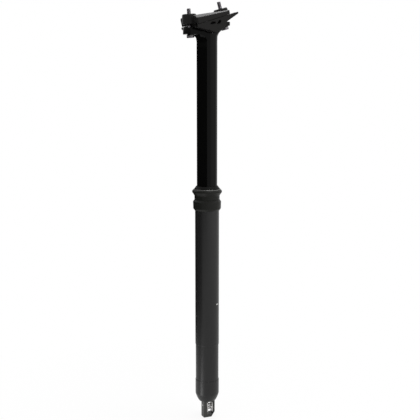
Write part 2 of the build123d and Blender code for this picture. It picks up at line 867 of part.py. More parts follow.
def make_actuator_lever():
    """H-shaped lever: two cheeks, the nose under the pin and a bridge."""
    nose = (0, nose_height, nose_radius)
    pivot = (lever_pivot_offset, lever_pivot_height, pivot_boss_radius)
    barrel = (barrel_line, lever_pivot_height - barrel_drop, barrel_boss_radius)
    horn = (horn_line, lever_pivot_height + horn_rise, horn_radius)
    tail = (tail_line, lever_pivot_height - tail_drop, tail_radius)
    cheek_plan = hull_of(nose, pivot, barrel, horn) + hull_of(barrel, tail)
    cheek = extrude(Plane.YZ * cheek_plan, amount=lever_cheek)
    lever = Pos(lever_centre - lever_half_width, 0, 0) * cheek
    lever += Pos(lever_centre + lever_half_width - lever_cheek, 0, 0) * cheek
    low, high = lever_centre - lever_half_width, lever_centre + lever_half_width
    lever += Pos(0, 0, nose_height) * cross_bar(nose_radius, low, high)
    bridge = Pos(0, bridge_line, lever_pivot_height - bridge_drop)
    lever += bridge * cross_bar(bridge_radius, low, high)
    hole_low, hole_high = low - overrun, high + overrun
    pivot_place = Pos(0, lever_pivot_offset, lever_pivot_height)
    lever -= pivot_place * cross_bar(pivot_pin_radius + pivot_fit, hole_low, hole_high)
    barrel_place = Pos(0, barrel_line, lever_pivot_height - barrel_drop)
    return lever - barrel_place * cross_bar(trunnion_radius + pivot_fit, hole_low, hole_high)


def make_cable_barrel():
    """Barrel on two trunnions, cross-drilled for the cable and its screw."""
    half_body = lever_half_width - lever_cheek - barrel_side_gap
    body = cross_bar(barrel_radius, -half_body, half_body)
    body += cross_bar(trunnion_radius, -lever_half_width, lever_half_width)
    body -= rod(cable_hole_radius, -2 * barrel_radius, 2 * barrel_radius)
    screw_hole = Rot(-90, 0, 0) * rod(set_screw_radius + seat_gap, 0, 2 * barrel_radius)
    place = Pos(lever_centre, barrel_line, lever_pivot_height - barrel_drop)
    return place * (body - screw_hole)


def make_barrel_set_screw():
    """Grub screw that clamps the cable in the barrel."""
    screw = rod(set_screw_radius, set_screw_inner_end, barrel_radius)
    screw -= hex_bar(set_screw_hex, barrel_radius - set_screw_hex_depth, barrel_radius + overrun)
    place = Pos(lever_centre, barrel_line, lever_pivot_height - barrel_drop)
    return place * Rot(-90, 0, 0) * screw


def make_release_pin():
    """Long pin through the rod from the lever to the valve."""
    return rod(release_pin_radius, pin_tip, piston_top - piston_cup_depth + seat_gap)


def make_valve_poppet():
    """Valve head that the release pin lifts off its seat."""
    foot = piston_top - piston_cup_depth + seat_gap
    return rod(poppet_radius, foot, foot + poppet_height)


parts = {
    "lower_tube": make_lower_tube(),
    "collar_base": make_collar_base(),
    "collar_nut": make_collar_nut(),
    "collar_o_ring": make_collar_o_ring(),
    "upper_bushing": make_upper_bushing(),
    "wiper_seal": make_wiper_seal(),
    "bottom_end_cap": make_bottom_end_cap(),
    "bottom_out_bumper": make_bottom_out_bumper(),
    "piston_rod": make_piston_rod(),
    "rod_jam_nut": make_rod_jam_nut(),
    "piston": make_piston(),
    "piston_seal": make_piston_seal(),
    "actuator_bracket": make_actuator_bracket(),
    "lever_pivot_pin": make_lever_pivot_pin(),
    "actuator_lever": make_actuator_lever(),
    "cable_barrel": make_cable_barrel(),
    "barrel_set_screw": make_barrel_set_screw(),
    "release_pin": make_release_pin(),
    "valve_poppet": make_valve_poppet(),
    "stanchion": make_stanchion(),
    "lower_bushing": make_lower_bushing(),
    "anti_rotation_keys": Compound(children=make_keys()),
    "cartridge_cylinder": make_cartridge_cylinder(),
    "cartridge_plug": make_cartridge_plug(),
    "cartridge_gland": make_cartridge_gland(),
    "rod_seal": make_rod_seal(),
    "cartridge_retainer": make_cartridge_retainer(),
    "top_out_bumper": make_top_out_bumper(),
    "lower_cradle": make_lower_cradle(),
    "upper_clamp": make_upper_clamp(),
    "front_bolt": make_bolt(front_bolt_frame),
    "rear_bolt": make_bolt(rear_bolt_frame),
    "front_washer": make_washer(front_bolt_frame),
    "rear_washer": make_washer(rear_bolt_frame),
    "front_barrel_nut": make_barrel_nut(front_bolt_frame, front_nut_height),
    "rear_barrel_nut": make_barrel_nut(rear_bolt_frame, rear_nut_height),
}

for name, shape in parts.items():
    export_step(shape, f"parts/{name}.step")
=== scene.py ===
import json
import math

import bmesh
import bpy
from bpy.props import FloatProperty, FloatVectorProperty, IntProperty, PointerProperty
from mathutils import Matrix, Vector

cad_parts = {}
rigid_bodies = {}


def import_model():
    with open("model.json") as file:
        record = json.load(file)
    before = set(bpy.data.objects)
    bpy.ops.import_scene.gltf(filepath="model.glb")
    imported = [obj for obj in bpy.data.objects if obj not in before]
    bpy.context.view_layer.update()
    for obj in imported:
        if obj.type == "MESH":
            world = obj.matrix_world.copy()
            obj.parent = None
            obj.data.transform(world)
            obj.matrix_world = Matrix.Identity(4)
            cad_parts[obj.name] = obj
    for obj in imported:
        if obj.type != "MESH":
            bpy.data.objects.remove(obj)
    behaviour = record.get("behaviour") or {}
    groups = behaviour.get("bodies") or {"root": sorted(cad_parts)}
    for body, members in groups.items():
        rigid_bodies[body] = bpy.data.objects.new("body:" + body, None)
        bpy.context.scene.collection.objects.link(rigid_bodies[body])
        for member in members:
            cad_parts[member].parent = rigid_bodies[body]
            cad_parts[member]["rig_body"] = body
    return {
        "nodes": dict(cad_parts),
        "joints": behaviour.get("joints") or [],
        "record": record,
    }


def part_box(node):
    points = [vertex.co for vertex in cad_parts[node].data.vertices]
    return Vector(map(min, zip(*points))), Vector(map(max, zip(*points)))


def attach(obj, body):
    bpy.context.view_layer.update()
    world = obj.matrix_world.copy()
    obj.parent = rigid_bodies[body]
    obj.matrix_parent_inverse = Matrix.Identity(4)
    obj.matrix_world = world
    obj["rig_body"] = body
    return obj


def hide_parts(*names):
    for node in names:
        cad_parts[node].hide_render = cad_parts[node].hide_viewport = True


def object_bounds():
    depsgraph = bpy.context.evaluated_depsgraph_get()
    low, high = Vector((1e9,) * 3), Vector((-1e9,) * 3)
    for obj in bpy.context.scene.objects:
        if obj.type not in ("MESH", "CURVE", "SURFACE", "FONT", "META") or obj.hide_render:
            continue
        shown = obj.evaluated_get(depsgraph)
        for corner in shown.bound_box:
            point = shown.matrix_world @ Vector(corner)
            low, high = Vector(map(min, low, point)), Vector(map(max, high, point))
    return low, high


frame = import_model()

bl_info = {
    "name": "Dropper Seatpost",
    "version": (1, 0, 0),
    "blender": (4, 5, 0),
    "location": "View3D > Sidebar > Seatpost",
    "description": "Finishes, threads and softened castings of a dropper seatpost, with its studio",
    "category": "Object",
}

MM = 0.001
SAME_PLACE = 0.001 * MM
BUMP_DEPTH = 0.02 * MM
SHARP_ANGLE = math.radians(35)
TUBE_RADIUS = 15.8 * MM
cad_box = [list(corner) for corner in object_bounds()]


def joint_place(name):
    """Where a joint's axis passes the middle plane, in metres."""
    return Vector(next(j for j in frame["joints"] if j["name"] == name)["pos_m"])


# Settings

class PostFinish(bpy.types.PropertyGroup):
    """Colours and gloss of the seatpost's finishes"""
    tube_black: FloatVectorProperty(
        name="Lower tube", description="Satin anodised black of the lower tube and its cap",
        subtype="COLOR", size=3, min=0, max=1, default=(0.0112, 0.0112, 0.0112))
    stanchion_black: FloatVectorProperty(
        name="Stanchion", description="Gloss anodised black of the sliding tube and forged head",
        subtype="COLOR", size=3, min=0, max=1, default=(0.0022, 0.0022, 0.0021))
    collar_black: FloatVectorProperty(
        name="Collar", description="Turned and anodised black of the collar",
        subtype="COLOR", size=3, min=0, max=1, default=(0.0105, 0.0108, 0.0092))
    clamp_black: FloatVectorProperty(
        name="Rail clamp", description="Forged and anodised black of the rail clamp",
        subtype="COLOR", size=3, min=0, max=1, default=(0.0125, 0.0121, 0.0117))
    bracket_black: FloatVectorProperty(
        name="Cable bracket", description="Black of the cable bracket",
        subtype="COLOR", size=3, min=0, max=1, default=(0.038, 0.038, 0.035))
    rubber_black: FloatVectorProperty(
        name="Rubber", description="Black of the wiper, rings and bumpers",
        subtype="COLOR", size=3, min=0, max=1, default=(0.004, 0.004, 0.0037))
    # Painted highlight: light metal colour of the band round the collar nut's top edge, standing in for
    # that edge's highlight
    rim_highlight_metal: FloatVectorProperty(
        name="Rim highlight", description="Bare metal on the collar nut's upper edge",
        subtype="COLOR", size=3, min=0, max=1, default=(0.3, 0.3, 0.29))
    bolt_grey: FloatVectorProperty(
        name="Bolts", description="Dark plating of the clamp bolts and nuts",
        subtype="COLOR", size=3, min=0, max=1, default=(0.17, 0.16, 0.172))
    bright_steel: FloatVectorProperty(
        name="Bright steel", description="Stainless steel of the lever, pins and washers",
        subtype="COLOR", size=3, min=0, max=1, default=(0.4, 0.395, 0.385))
    aluminium: FloatVectorProperty(
        name="Aluminium", description="Machined aluminium of the cartridge",
        subtype="COLOR", size=3, min=0, max=1, default=(0.66, 0.67, 0.68))
    brass: FloatVectorProperty(
        name="Brass", description="Brass of the three keys",
        subtype="COLOR", size=3, min=0, max=1, default=(0.72, 0.52, 0.22))
    guide_plastic: FloatVectorProperty(
        name="Guide plastic", description="Bearing plastic of the two bushings",
        subtype="COLOR", size=3, min=0, max=1, default=(0.5, 0.46, 0.36))
    print_white: FloatVectorProperty(
        name="Print", description="White of the printed marks",
        subtype="COLOR", size=3, min=0, max=1, default=(0.75, 0.75, 0.72))


class PostDetail(bpy.types.PropertyGroup):
    """Sizes of the modelled details"""
    thread_pitch: FloatProperty(
        name="Thread pitch", description="Rise of the bolt thread in one turn",
        unit="LENGTH", subtype="DISTANCE", min=0.0004, max=0.002, default=0.8 * MM)
    thread_depth: FloatProperty(
        name="Thread depth", description="Depth of the bolt thread",
        unit="LENGTH", subtype="DISTANCE", min=0, max=0.001, default=0.32 * MM)
    socket_width: FloatProperty(
        name="Socket width", description="Across the flats of the bolts' hexagon socket",
        unit="LENGTH", subtype="DISTANCE", min=0.001, max=0.006, default=4.0 * MM)
    socket_depth: FloatProperty(
        name="Socket depth", description="Depth of the bolts' hexagon socket",
        unit="LENGTH", subtype="DISTANCE", min=0.0005, max=0.004, default=1.8 * MM)
    casting_voxel: FloatProperty(
        name="Casting detail", description="Mesh size used to soften the forged pieces",
        unit="LENGTH", subtype="DISTANCE", min=0.0001, max=0.002, default=0.32 * MM)
    # Width of the painted highlight band round the collar nut's top edge
    rim_highlight_width: FloatProperty(
        name="Cut edge", description="Thickness of the bright edge round the collar's nut",
        unit="LENGTH", subtype="DISTANCE", min=0.0001, max=0.002, default=0.55 * MM)
    mark_height: FloatProperty(
        name="Mark height", description="Height of the printed tick from the collar's underside",
        unit="LENGTH", subtype="DISTANCE", min=-0.24, max=-0.01, default=-125.0 * MM)
    mark_heading: FloatProperty(
        name="Mark heading", description="Direction of the printed tick round the tube",
        subtype="ANGLE", default=math.radians(124.5))
    mark_width: FloatProperty(
        name="Mark width", description="Width of the printed tick round the tube",
        unit="LENGTH", subtype="DISTANCE", min=0.0005, max=0.02, default=4.0 * MM)
    head_height: FloatProperty(
        name="Forged head height", description="Height of the stanchion's head above its ground tube",
        unit="LENGTH", subtype="DISTANCE", min=0.01, max=0.06, default=33.0 * MM)
    foot_height: FloatProperty(
        name="Stanchion foot", description="Level below which the stanchion's foot is kept as it is",
        unit="LENGTH", subtype="DISTANCE", min=-0.05, max=0.0, default=-30.0 * MM)
    casting_skin: FloatProperty(
        name="Casting skin", description="How far the softened pieces are drawn in",
        unit="LENGTH", subtype="DISTANCE", min=0, max=0.0002, default=0.04 * MM)
    casting_rounds: IntProperty(
        name="Casting softness", description="Smoothing passes on the forged pieces",
        min=0, max=40, default=7)


class StudioSettings(bpy.types.PropertyGroup):
    """Camera and light"""
    camera_place: FloatVectorProperty(
        name="Camera place", description="Camera position from the collar's underside",
        subtype="XYZ", unit="LENGTH", size=3, default=(0.415, 0.955, 0.152))
    camera_pitch: FloatProperty(
        name="Camera pitch", description="Angle that the camera looks down",
        subtype="ANGLE", default=math.radians(8.3))
    camera_yaw: FloatProperty(
        name="Camera yaw", description="Heading of the camera from the +Y axis",
        subtype="ANGLE", default=math.radians(156.3))
    camera_lens: FloatProperty(
        name="Lens", description="Focal length on a 36 mm sensor, in millimetres",
        min=20, max=200, default=68.6)
    ambient: FloatProperty(
        name="Ambient light", description="Strength of the even light from all round",
        min=0, max=5, default=0.75)
    key_power: FloatProperty(
        name="Key light", description="Power of the large softbox",
        unit="POWER", min=0, max=100, default=3.5)
    top_power: FloatProperty(
        name="Top light", description="Power of the softbox overhead",
        unit="POWER", min=0, max=100, default=5.0)
    strip_power: FloatProperty(
        name="Strip light", description="Power of the low strip light",
        unit="POWER", min=0, max=100, default=0.11)


# Node helpers

def link(tree, out, into):
    """Connect two sockets."""
    tree.links.new(out, into)


def add(tree, kind, **values):
    """Make a node and set its properties; input sockets are set by name or index."""
    node = tree.nodes.new(kind)
    for key, value in values.get("props", {}).items():
        setattr(node, key, value)
    for key, value in values.get("inputs", {}).items():
        if isinstance(value, bpy.types.NodeSocket):
            link(tree, value, node.inputs[key])
        else:
            node.inputs[key].default_value = value
    return node


def maths(tree, operation, first, second=0.0, clamp=False):
    """A Math node's output."""
    node = add(tree, "ShaderNodeMath", props={"operation": operation, "use_clamp": clamp},
               inputs={0: first, 1: second})
    return node.outputs[0]


def noise(tree, vector, scale, detail=3.0, roughness=0.5):
    """A 3-D noise's grey output."""
    node = add(tree, "ShaderNodeTexNoise", inputs={
        "Vector": vector, "Scale": scale, "Detail": detail, "Roughness": roughness})
    return node.outputs["Fac"]


def ramp(tree, value, low, high, to_low=0.0, to_high=1.0):
    """Map a value from one range to another, held at its ends."""
    node = add(tree, "ShaderNodeMapRange", inputs={
        "Value": value, "From Min": low, "From Max": high, "To Min": to_low, "To Max": to_high})
    return node.outputs["Result"]


def mixed(tree, factor, first, second):
    """Mix of two colours."""
    node = add(tree, "ShaderNodeMix", props={"data_type": "RGBA"})
    for index, value in ((0, factor), (6, first), (7, second)):
        if isinstance(value, bpy.types.NodeSocket):
            link(tree, value, node.inputs[index])
        else:
            node.inputs[index].default_value = value
    return node.outputs[2]


def new_group(name, inputs, outputs):
    """A shader node group with named sockets, its input node and its output node."""
    tree = bpy.data.node_groups.new(name, "ShaderNodeTree")
    for label, kind, default in inputs:
        socket = tree.interface.new_socket(label, in_out="INPUT", socket_type=kind)
        socket.default_value = default
    for label, kind in outputs:
        tree.interface.new_socket(label, in_out="OUTPUT", socket_type=kind)
    return tree, tree.nodes.new("NodeGroupInput"), tree.nodes.new("NodeGroupOutput")


def make_grain_group():
    """Fine blasted or moulded grain: a height, and a slow drift of gloss and shade."""
    tree, given, result = new_group(
        "surface_grain",
        [("Grain Size", "NodeSocketFloat", 2500.0), ("Drift Size", "NodeSocketFloat", 35.0),
         ("Roughness", "NodeSocketFloat", 0.4), ("Roughness Drift", "NodeSocketFloat", 0.06),
         ("Color", "NodeSocketColor", (0.02, 0.02, 0.02, 1)),
         ("Shade Drift", "NodeSocketFloat", 0.15)],
        [("Color", "NodeSocketColor"), ("Roughness", "NodeSocketFloat"), ("Height", "NodeSocketFloat")])
    place = add(tree, "ShaderNodeTexCoord").outputs["Object"]
    fine = noise(tree, place, given.outputs["Grain Size"], detail=2.0)
    drift = noise(tree, place, given.outputs["Drift Size"], detail=4.0, roughness=0.6)
    centred = maths(tree, "SUBTRACT", drift, 0.5)
    gloss = maths(tree, "MULTIPLY", centred, given.outputs["Roughness Drift"])
    gloss = maths(tree, "ADD", gloss, given.outputs["Roughness"], clamp=True)
    speck = maths(tree, "SUBTRACT", fine, 0.5)
    shade = maths(tree, "ADD", centred, maths(tree, "MULTIPLY", speck, 0.6))
    shade = maths(tree, "MULTIPLY", shade, given.outputs["Shade Drift"])
    shade = maths(tree, "ADD", shade, 1.0)
    tint = add(tree, "ShaderNodeVectorMath", props={"operation": "SCALE"},
               inputs={0: given.outputs["Color"], "Scale": shade})
    link(tree, tint.outputs[0], result.inputs["Color"])
    link(tree, gloss, result.inputs["Roughness"])
    link(tree, fine, result.inputs["Height"])


def make_turning_group():
    """Fine lathe lines round the post's axis: a height and a shade."""
    tree, given, result = new_group(
        "lathe_lines",
        [("Line Size", "NodeSocketFloat", 6000.0), ("Strength", "NodeSocketFloat", 1.0)],
        [("Height", "NodeSocketFloat"), ("Shade", "NodeSocketFloat")])
    place = add(tree, "ShaderNodeTexCoord").outputs["Object"]
    flat = add(tree, "ShaderNodeVectorMath", props={"operation": "MULTIPLY"},
               inputs={0: place, 1: (0.02, 0.02, 1.0)}).outputs[0]
    lines = noise(tree, flat, given.outputs["Line Size"], detail=1.0)
    height = maths(tree, "MULTIPLY", lines, given.outputs["Strength"])
    link(tree, height, result.inputs["Height"])
    link(tree, lines, result.inputs["Shade"])


def make_edge_group():
    """Handling wear: a mask that grows on sharp edges, broken up by noise."""
    tree, given, result = new_group(
        "edge_wear",
        [("Width", "NodeSocketFloat", 0.0004), ("Amount", "NodeSocketFloat", 0.5)],
        [("Mask", "NodeSocketFloat")])
    place = add(tree, "ShaderNodeTexCoord").outputs["Object"]
    rounded = add(tree, "ShaderNodeBevel", props={"samples": 4},
                  inputs={"Radius": given.outputs["Width"]})
    normal = add(tree, "ShaderNodeNewGeometry").outputs["Normal"]
    alike = add(tree, "ShaderNodeVectorMath", props={"operation": "DOT_PRODUCT"},
                inputs={0: rounded.outputs[0], 1: normal}).outputs["Value"]
    edge = ramp(tree, alike, low=0.985, high=0.86)
    patches = noise(tree, place, scale=420.0, detail=4.0, roughness=0.7)
    broken = ramp(tree, patches, low=0.42, high=0.62)
    mask = maths(tree, "MULTIPLY", edge, broken)
    mask = maths(tree, "MULTIPLY", mask, given.outputs["Amount"], clamp=True)
    link(tree, mask, result.inputs["Mask"])


def place_group(tree, name, **values):
    """Put a shared effect into a material, with its own values."""
    node = tree.nodes.new("ShaderNodeGroup")
    node.node_tree = bpy.data.node_groups[name]
    for key, value in values.items():
        node.inputs[key.replace("_", " ")].default_value = value
    return node


def finish(name, colour, roughness, metallic=0.0, specular=0.5, grain_size=2500.0, grain_height=0.02,
           drift=0.06, shade_drift=0.15, worn=None, wear=0.0, turned=0.0):
    """A material with grain, drift of gloss, optional lathe lines and optional edge wear."""
    title = name + "_finish"
    material = bpy.data.materials.get(title)
    if material:
        return material
    material = bpy.data.materials.new(title)
    material.use_nodes = True
    tree = material.node_tree
    shader = tree.nodes["Principled BSDF"]
    shader.inputs["Metallic"].default_value = metallic
    shader.inputs["Specular IOR Level"].default_value = specular
    grain = place_group(
        tree, "surface_grain", Grain_Size=grain_size, Roughness=roughness, Roughness_Drift=drift,
        Color=(*colour, 1), Shade_Drift=shade_drift)
    colour_out, height_out, rough_out = (grain.outputs[key] for key in ("Color", "Height", "Roughness"))
    if turned:
        lines = place_group(tree, "lathe_lines", Strength=turned)
        softer_grain = maths(tree, "MULTIPLY", height_out, 0.4)
        height_out = maths(tree, "ADD", softer_grain, lines.outputs["Height"])
        gloss_lines = ramp(tree, lines.outputs["Shade"], low=0.3, high=0.7, to_low=-0.04, to_high=0.04)
        rough_out = maths(tree, "ADD", rough_out, gloss_lines)
    if worn:
        mask = place_group(tree, "edge_wear", Amount=wear).outputs["Mask"]
        colour_out = mixed(tree, mask, colour_out, (*worn, 1))
        if not metallic:
            link(tree, maths(tree, "MULTIPLY", mask, 0.8), shader.inputs["Metallic"])
    link(tree, colour_out, shader.inputs["Base Color"])
    link(tree, rough_out, shader.inputs["Roughness"])
    bump = add(tree, "ShaderNodeBump", inputs={
        "Strength": grain_height * 10, "Distance": BUMP_DEPTH, "Height": height_out})
    link(tree, bump.outputs[0], shader.inputs["Normal"])
    return material


def slot_finish(slot):
    """The finish of one of the record's material slots."""
    look = bpy.context.scene.post_finish
    bare, rubbed_plating = (0.35, 0.35, 0.34), (0.5, 0.49, 0.5)
    rows = {
        "post_black": dict(colour=look.tube_black, roughness=0.37, specular=0.29, grain_size=3200.0,
                           grain_height=0.03, shade_drift=0.12, worn=bare, wear=0.25),
        "stanchion_black": dict(colour=look.stanchion_black, roughness=0.1, specular=0.08,
                                grain_height=0.004, drift=0.04, shade_drift=0.1),
        "collar_black": dict(colour=look.collar_black, roughness=0.4, specular=0.12, grain_height=0.02,
                             turned=0.8, worn=bare, wear=0.35),
        "clamp_black": dict(colour=look.clamp_black, roughness=0.34, specular=0.085, grain_size=1800.0,
                            grain_height=0.05, worn=bare, wear=0.3),
        "bracket_black": dict(colour=look.bracket_black, roughness=0.42, specular=0.3, grain_size=2200.0,
                              grain_height=0.08, worn=bare, wear=0.4),
        "seal_rubber": dict(colour=look.rubber_black, roughness=0.5, specular=0.08, grain_size=1400.0,
                            grain_height=0.05, drift=0.1),
        "bolt_steel": dict(colour=look.bolt_grey, roughness=0.33, metallic=1.0, grain_height=0.03,
                           shade_drift=0.4, worn=rubbed_plating, wear=0.6),
        "plain_steel": dict(colour=look.bright_steel, roughness=0.26, metallic=1.0, grain_height=0.03,
                            shade_drift=0.15, drift=0.1),
        "polished_steel": dict(colour=look.bright_steel, roughness=0.12, metallic=1.0, grain_height=0.006,
                               turned=0.2, drift=0.04),
        "bare_aluminium": dict(colour=look.aluminium, roughness=0.3, metallic=1.0, grain_height=0.02,
                               turned=1.0, shade_drift=0.1),
        "key_brass": dict(colour=look.brass, roughness=0.28, metallic=1.0, grain_height=0.03,
                          shade_drift=0.2, drift=0.1),
        "guide_plastic": dict(colour=look.guide_plastic, roughness=0.5, specular=0.4, grain_size=900.0,
                              grain_height=0.03),
    }
    return finish(slot, **rows[slot])


def give_finish(obj, slot):
    """Put a slot's finish on every material place of a piece."""
    material = slot_finish(slot)
    if not obj.data.materials:
        obj.data.materials.append(material)
    for place in obj.material_slots:
        place.material = material


# Mesh helpers

def new_piece(name, body, slot, mesh_data, *nodes):
    """Link a mesh as a piece that rides on a body and stands for CAD nodes."""
    obj = bpy.data.objects.new(name, mesh_data)
    bpy.context.scene.collection.objects.link(obj)
    for face in obj.data.polygons:
        face.use_smooth = True
    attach(obj, body)
    if slot:
        give_finish(obj, slot)
    if nodes:
        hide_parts(*nodes)
    return obj


def smoothed_copy(mesh_data, voxel, rounds, kept_share=1.0):
    """A finely remeshed copy of a mesh with soft edges, drawn in so that its bores stay clear."""
    copy = bpy.data.objects.new("work", mesh_data)
    bpy.context.scene.collection.objects.link(copy)
    weld = copy.modifiers.new("weld", "WELD")
    weld.merge_threshold = SAME_PLACE
    remesh = copy.modifiers.new("remesh", "REMESH")
    remesh.mode = "VOXEL"
    remesh.voxel_size = voxel
    smooth = copy.modifiers.new("smooth", "SMOOTH")
    smooth.factor = 0.5
    smooth.iterations = rounds
    skin = copy.modifiers.new("skin", "DISPLACE")
    skin.mid_level = 0
    skin.strength = -bpy.context.scene.post_detail.casting_skin
    if kept_share < 1:
        fewer = copy.modifiers.new("fewer", "DECIMATE")
        fewer.ratio = kept_share
    graph = bpy.context.evaluated_depsgraph_get()
    soft = bpy.data.meshes.new_from_object(copy.evaluated_get(graph))
    bpy.data.objects.remove(copy)
    return soft


def softened(node, name, slot, voxel=None, rounds=None, kept_share=1.0):
    """A copy of a CAD node with the soft edges of a forging, which stands for it."""
    detail = bpy.context.scene.post_detail
    source = frame["nodes"][node]
    soft = smoothed_copy(source.data.copy(), voxel or detail.casting_voxel,
                         detail.casting_rounds if rounds is None else rounds, kept_share)
    return new_piece(name, source["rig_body"], slot, soft, node)


def finished_mesh(name, work):
    """A mesh from closed working geometry, with its faces turned outwards."""
    bmesh.ops.recalc_face_normals(work, faces=work.faces)
    mesh_data = bpy.data.meshes.new(name)
    work.to_mesh(mesh_data)
    work.free()
    return mesh_data


def join_loops(work, first, second):
    """Faces all round between two closed loops of vertices."""
    for index in range(len(first)):
        after = (index + 1) % len(first)
        work.faces.new((first[index], second[index], second[after], first[after]))


def cut_level(mesh_data, height, keep_top):
    """Cut a closed mesh at a height, keep one side and close the cut."""
    work = bmesh.new()
    work.from_mesh(mesh_data)
    bmesh.ops.remove_doubles(work, verts=work.verts, dist=SAME_PLACE)
    parts = [*work.verts, *work.edges, *work.faces]
    cut = bmesh.ops.bisect_plane(
        work, geom=parts, plane_co=(0, 0, height), plane_no=(0, 0, 1),
        clear_inner=keep_top, clear_outer=not keep_top)["geom_cut"]
    rim = [item for item in cut if isinstance(item, bmesh.types.BMEdge)]
    bmesh.ops.triangle_fill(work, edges=rim, use_beauty=True)
    return finished_mesh(mesh_data.name + "_cut", work)


def ring_stack(name, rings, segments=48):
    """Closed mesh through rings of (height, radius), where a radius may depend on the angle."""
    work = bmesh.new()
    loops = []
    for height, radius in rings:
        loop = []
        for index in range(segments):
            angle = index * math.tau / segments
            reach = radius(angle) if callable(radius) else radius
            loop.append(work.verts.new((reach * math.cos(angle), reach * math.sin(angle), height)))
        loops.append(loop)
    for low, high in zip(loops, loops[1:]):
        for index in range(segments):
            after = (index + 1) % segments
            work.faces.new((low[index], low[after], high[after], high[index]))
    for loop, height, turn in ((loops[0], rings[0][0], -1), (loops[-1], rings[-1][0], 1)):
        middle = work.verts.new((0, 0, height))
        for index in range(segments):
            after = (index + 1) % segments
            corner = (loop[index], loop[after], middle)
            work.faces.new(corner[::turn])
    return finished_mesh(name, work)


def hoop(name, rows, segments=160):
    """Closed ring round the post's axis through a loop of (radius, height)."""
    work = bmesh.new()
    loops = []
    for index in range(segments):
        angle = index * math.tau / segments
        loops.append([work.verts.new((r * math.cos(angle), r * math.sin(angle), z)) for r, z in rows])
    for first, second in zip(loops, loops[1:] + loops[:1]):
        join_loops(work, first, second)
    return finished_mesh(name, work)


def tube_patch(name, radius, rise, centre_angle, half_angle, low, high, columns=12):
    """A thin printed patch that follows a tube's surface."""
    work = bmesh.new()
    rings = []
    for column in range(columns + 1):
        angle = centre_angle - half_angle + 2 * half_angle * column / columns
        across = (math.cos(angle), math.sin(angle))
        corners = ((radius + rise, low), (radius + rise, high), (radius, high), (radius, low))
        rings.append([work.verts.new((across[0] * r, across[1] * r, z)) for r, z in corners])
    for first, second in zip(rings, rings[1:]):
        join_loops(work, first, second)
    work.faces.new(rings[0][::-1])
    work.faces.new(rings[-1])
    return finished_mesh(name, work)


# Operators, one for each piece or group of like pieces

class SEATPOST_OT_finishes(bpy.types.Operator):
    """Build the shared effects and put a finish on every piece of the frame"""
    bl_idname = "seatpost.finishes"
    bl_label = "Finishes"

    def execute(self, context):
        for make_group in (make_grain_group, make_turning_group, make_edge_group):
            make_group()
        for row in frame["record"]["subparts"]:
            give_finish(frame["nodes"][row["node"]], row["material_slot"])
        return {"FINISHED"}


class SEATPOST_OT_clamp_bolts(bpy.types.Operator):
    """Model both clamp bolts with real threads and hexagon sockets"""
    bl_idname = "seatpost.clamp_bolts"
    bl_label = "Clamp Bolts"

    def execute(self, context):
        for end in ("front", "rear"):
            self.make_bolt(context.scene.post_detail, end)
        return {"FINISHED"}

    def make_bolt(self, detail, end):
        """One bolt on the line from its washer's centre to its barrel nut."""
        head_height, thread_run, chamfer, tip = 2.7 * MM, 9 * MM, 0.6 * MM, 0.1 * MM
        edge, fillet, rings_per_turn, shank_share = 0.15 * MM, 0.3 * MM, 8, 0.9
        groove_slope, groove_floor, run_out = 3.2, 1.25, 0.35
        foot = joint_place(f"{end}_bolt_swing")
        nut = joint_place(f"{end}_nut_turn")
        up = (nut - foot).normalized()
        turn = up.to_track_quat("Z", "Y").to_matrix()
        points = [turn.transposed() @ (v.co - foot) for v in frame["nodes"][f"{end}_bolt"].data.vertices]
        low, high = min(p.z for p in points), max(p.z for p in points)
        head_radius = max(p.xy.length for p in points)
        radius = max(p.xy.length for p in points if p.z > high * shank_share)
        seat = low + head_height
        thread_foot = (nut - foot).length - thread_run
        half_socket = detail.socket_width / 2

        def hexagon(angle):
            """Distance to the socket's wall at an angle."""
            return half_socket / math.cos((angle + math.pi / 6) % (math.pi / 3) - math.pi / 6)

        def thread(height):
            """Radius round the thread at a height."""
            def reach(angle):
                phase = (height / detail.thread_pitch - angle / math.tau) % 1
                groove = min(1, max(0, groove_floor - abs(phase - 0.5) * groove_slope))
                fade = min(1, max(0, (height - thread_foot) / detail.thread_pitch))
                fade *= min(1, max(0, (high - height) / detail.thread_pitch + run_out))
                return radius - detail.thread_depth * groove * fade
            return reach

        socket = low + detail.socket_depth
        rings = [
            (socket + 0.5 * MM, 0.05 * MM), (socket, hexagon), (low + tip, hexagon),
            (low, half_socket * 1.2), (low, head_radius - chamfer),
            (low + chamfer * 0.5, head_radius - tip), (low + chamfer, head_radius),
            (seat - edge, head_radius), (seat, head_radius - edge),
            (seat, radius + fillet), (seat + fillet, radius),
        ]
        run = high - chamfer - thread_foot
        steps = int(run / detail.thread_pitch * rings_per_turn)
        for step in range(steps + 1):
            height = thread_foot + run * step / steps
            rings.append((height, thread(height)))
        rings += [(high - tip, radius - chamfer), (high, radius - chamfer - 0.12 * MM)]
        mesh_data = ring_stack(f"{end}_bolt_threaded", rings)
        mesh_data.transform(Matrix.Translation(foot) @ turn.to_4x4())
        new_piece(f"{end}_bolt_threaded", f"{end}_clamp_bolt", "bolt_steel", mesh_data, f"{end}_bolt")


class SEATPOST_OT_rail_clamp(bpy.types.Operator):
    """Give the rail clamp's two halves the soft edges of forgings"""
    bl_idname = "seatpost.rail_clamp"
    bl_label = "Rail Clamp"

    def execute(self, context):
        for node in ("upper_clamp", "lower_cradle"):
            softened(node, node + "_forged", "clamp_black", kept_share=0.35)
        return {"FINISHED"}


